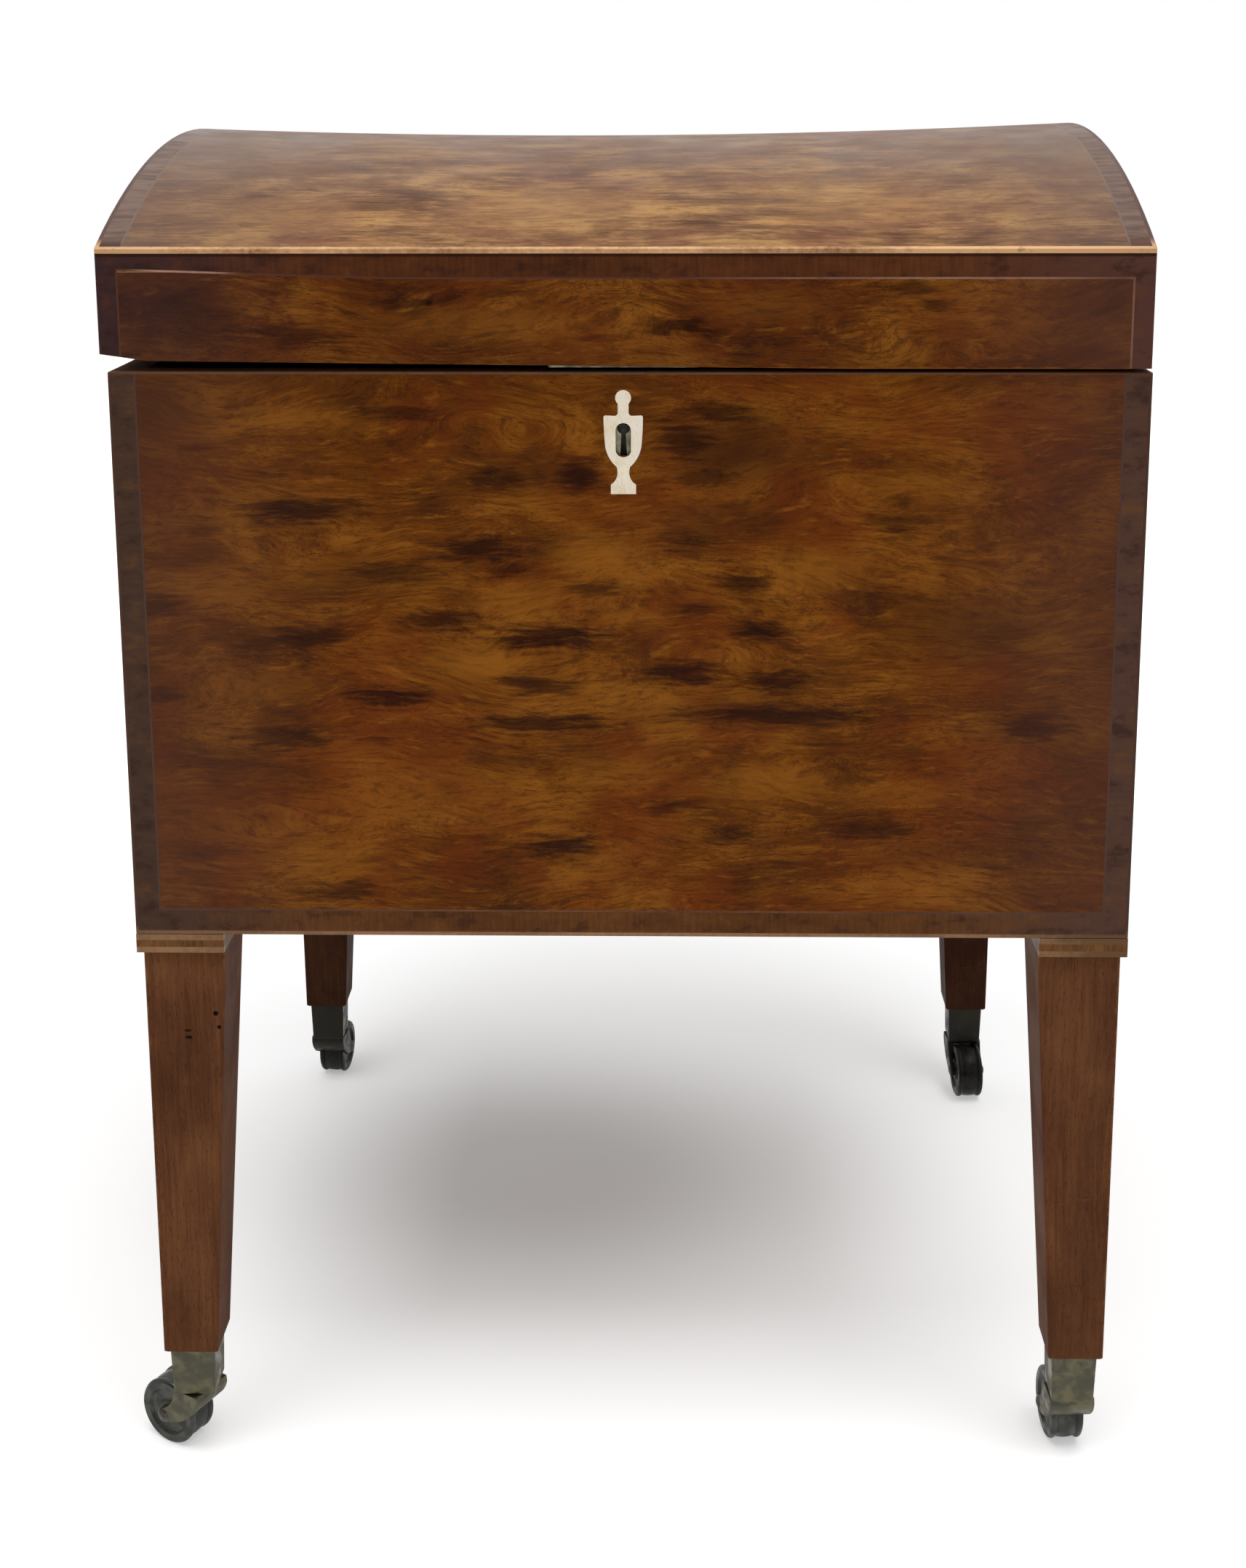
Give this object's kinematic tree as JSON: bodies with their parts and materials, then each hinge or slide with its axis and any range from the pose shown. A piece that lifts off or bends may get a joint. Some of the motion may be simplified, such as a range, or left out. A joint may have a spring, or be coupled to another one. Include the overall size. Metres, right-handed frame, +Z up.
{
  "type": "cellarette",
  "caption": "Domed mahogany bottle chest with a hinged lid, inlaid stringing and urn escutcheon, on square tapered legs with swivelling box castors.",
  "frame": {"origin": "on the floor, under the middle of the case", "axes": "+Z up, the front with its keyhole faces -Y, +X to the viewer's right when facing the front"},
  "size_m": [0.4754, 0.4175, 0.6458],
  "materials": {
    "mahogany_case": "waxed plum-pudding mahogany veneer",
    "mahogany_lid": "waxed plum-pudding mahogany veneer",
    "mahogany_dome": "waxed and faded mahogany",
    "mahogany_leg": "waxed straight-grained mahogany",
    "mahogany_inside": "plain mahogany, unpolished",
    "partition_wood": "thin plain mahogany, unpolished",
    "collar_wood": "brown veneer between two strings",
    "crossbanding": "dark cross-grained veneer, waxed",
    "crossbanding_lid": "dark cross-grained veneer, waxed",
    "dark_string": "thin pinkish-brown string, waxed",
    "boxwood_case": "aged boxwood string, waxed",
    "boxwood_lid": "aged boxwood string, waxed",
    "boxwood_collar": "aged boxwood string, waxed",
    "bone": null,
    "castor_brass": "dark patinated cast brass",
    "wheel_brass": "blackened cast brass",
    "castor_steel": "dull dark iron",
    "hinge_brass": "dull brass",
    "hinge_steel": "dull iron",
    "lock_brass": "dull brass",
    "lock_steel": "dull iron",
    "zinc": null
  },
  "bodies": {
    "case": {"case_front": "mahogany_case", "case_back": "mahogany_case", "case_left": "mahogany_case", "case_right": "mahogany_case", "case_bottom": "mahogany_inside", "case_crossbanding": "crossbanding", "case_inner_stringing": "dark_string", "case_edge_stringing": "boxwood_case", "collar_stringing": "boxwood_collar", "leg_front_left": "mahogany_leg", "leg_collar_front_left": "collar_wood", "castor_cap_front_left": "castor_brass", "leg_front_right": "mahogany_leg", "leg_collar_front_right": "collar_wood", "castor_cap_front_right": "castor_brass", "leg_back_right": "mahogany_leg", "leg_collar_back_right": "collar_wood", "castor_cap_back_right": "castor_brass", "leg_back_left": "mahogany_leg", "leg_collar_back_left": "collar_wood", "castor_cap_back_left": "castor_brass", "partition_long_front": "partition_wood", "partition_long_back": "partition_wood", "partition_cross_left": "partition_wood", "partition_cross_right": "partition_wood", "hinge_leaf_case_left": "hinge_brass", "hinge_pin_left": "hinge_steel", "hinge_leaf_case_right": "hinge_brass", "hinge_pin_right": "hinge_steel", "hinge_screws_case": "hinge_steel", "escutcheon": "bone", "lock_case": "lock_brass", "lock_screws": "lock_steel", "floor_lining": "zinc"},
    "lid": {"lid_front": "mahogany_lid", "lid_back": "mahogany_lid", "lid_left": "mahogany_lid", "lid_right": "mahogany_lid", "lid_top": "mahogany_dome", "lid_crossbanding": "crossbanding_lid", "lid_inner_stringing": "dark_string", "lid_edge_stringing": "boxwood_lid", "hinge_leaf_lid_left": "hinge_brass", "hinge_leaf_lid_right": "hinge_brass", "hinge_screws_lid": "hinge_steel", "link_plate": "lock_brass", "link_plate_screws": "lock_steel"},
    "bolt": {"lock_bolt": "lock_steel"},
    "swivel_front_left": {"castor_horn_front_left": "castor_brass", "castor_axle_front_left": "castor_steel"},
    "wheel_front_left": {"castor_wheel_front_left": "wheel_brass"},
    "swivel_front_right": {"castor_horn_front_right": "castor_brass", "castor_axle_front_right": "castor_steel"},
    "wheel_front_right": {"castor_wheel_front_right": "wheel_brass"},
    "swivel_back_right": {"castor_horn_back_right": "castor_brass", "castor_axle_back_right": "castor_steel"},
    "wheel_back_right": {"castor_wheel_back_right": "wheel_brass"},
    "swivel_back_left": {"castor_horn_back_left": "castor_brass", "castor_axle_back_left": "castor_steel"},
    "wheel_back_left": {"castor_wheel_back_left": "wheel_brass"}
  },
  "joints": [
    {"name": "lid_hinge", "type": "hinge", "parent": "case", "child": "lid", "pos_m": [0, 0.2042, 0.5408], "axis": [-1, 0, 0], "range_deg": [0, 100]},
    {"name": "bolt_slide", "type": "slide", "parent": "case", "child": "bolt", "axis": [1, 0, 0], "range_m": [0, 0.005]},
    {"name": "swivel_front_left", "type": "hinge", "parent": "case", "child": "swivel_front_left", "pos_m": [-0.2144, -0.1844, 0.0355], "axis": [0, 0, 1], "continuous": true},
    {"name": "roll_front_left", "type": "hinge", "parent": "swivel_front_left", "child": "wheel_front_left", "pos_m": [-0.22752, -0.17713, 0.0163], "axis": [-0.4848, -0.8746, 0], "continuous": true},
    {"name": "swivel_front_right", "type": "hinge", "parent": "case", "child": "swivel_front_right", "pos_m": [0.2144, -0.1844, 0.0355], "axis": [0, 0, 1], "continuous": true},
    {"name": "roll_front_right", "type": "hinge", "parent": "swivel_front_right", "child": "wheel_front_right", "pos_m": [0.21335, -0.16944, 0.0163], "axis": [-0.9976, -0.0698, 0], "continuous": true},
    {"name": "swivel_back_right", "type": "hinge", "parent": "case", "child": "swivel_back_right", "pos_m": [0.2144, 0.1844, 0.0355], "axis": [0, 0, 1], "continuous": true},
    {"name": "roll_back_right", "type": "hinge", "parent": "swivel_back_right", "child": "wheel_back_right", "pos_m": [0.21545, 0.16944, 0.0163], "axis": [0.9976, 0.0698, 0], "continuous": true},
    {"name": "swivel_back_left", "type": "hinge", "parent": "case", "child": "swivel_back_left", "pos_m": [-0.2144, 0.1844, 0.0355], "axis": [0, 0, 1], "continuous": true},
    {"name": "roll_back_left", "type": "hinge", "parent": "swivel_back_left", "child": "wheel_back_left", "pos_m": [-0.21283, 0.19932, 0.0163], "axis": [-0.9945, 0.1045, 0], "continuous": true}
  ]
}
